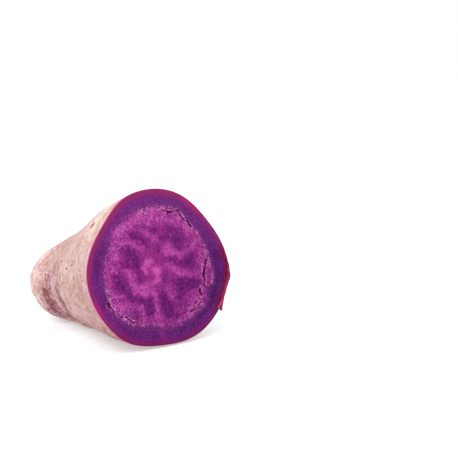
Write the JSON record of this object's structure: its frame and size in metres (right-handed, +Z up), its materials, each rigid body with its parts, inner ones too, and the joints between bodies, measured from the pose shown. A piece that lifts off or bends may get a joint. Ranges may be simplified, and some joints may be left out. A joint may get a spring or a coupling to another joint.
{
  "type": "sweet potato half",
  "caption": "Half of a purple sweet potato, cut straight across and lying on its side: flat violet and magenta cut face, tapering side with thin tan skin, blunt rounded tip.",
  "frame": {"origin": "on the surface the half lies on, under the middle of its bounding box", "axes": "+Y runs from the cut to the tip, level with the ground; the cut faces -Y and leans back 10 degrees; +Z is up, away from the surface the half lies on; +X is to the right of someone facing the cut"},
  "size_m": [0.0784, 0.0884, 0.0689],
  "materials": {
    "tuber": "dry skin, moist cut"
  },
  "bodies": {
    "root": {"sweet_potato_half": "tuber"}
  },
  "joints": []
}
